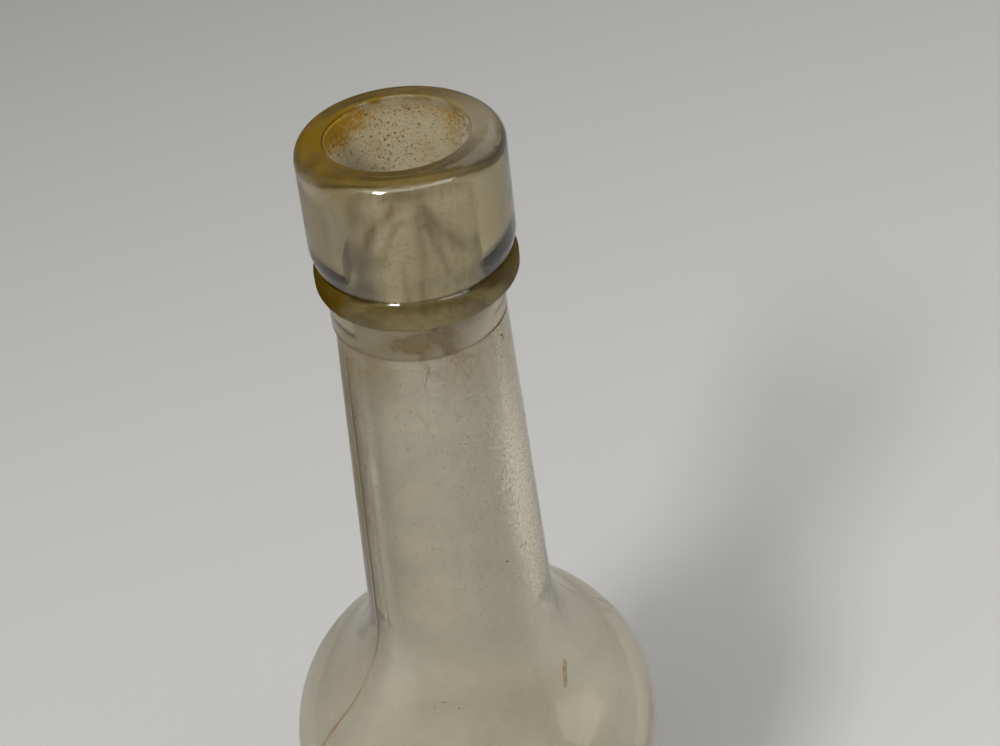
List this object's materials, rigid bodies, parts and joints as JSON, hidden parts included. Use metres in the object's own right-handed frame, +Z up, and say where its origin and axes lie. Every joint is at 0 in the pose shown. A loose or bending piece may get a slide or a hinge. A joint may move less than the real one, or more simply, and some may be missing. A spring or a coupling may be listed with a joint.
{
  "type": "antique glass bottle",
  "caption": "Round blown glass bottle with a long tapered neck, a tall lip band over a string ring, an open cork bore and a pushed-up foot.",
  "frame": {"origin": "centre of the foot, on the surface that the bottle stands on", "axes": "+Z up along the bottle's axis, out of the mouth; -Y towards the picture's viewer"},
  "size_m": [0.0632, 0.0632, 0.236],
  "materials": {
    "blown_glass": "gloss",
    "finish_glass": "gloss",
    "cork_residue": "matte"
  },
  "bodies": {
    "root": {"blown_body": "blown_glass", "neck_collar": "blown_glass", "string_ring": "finish_glass", "lip_band": "finish_glass"}
  },
  "joints": []
}
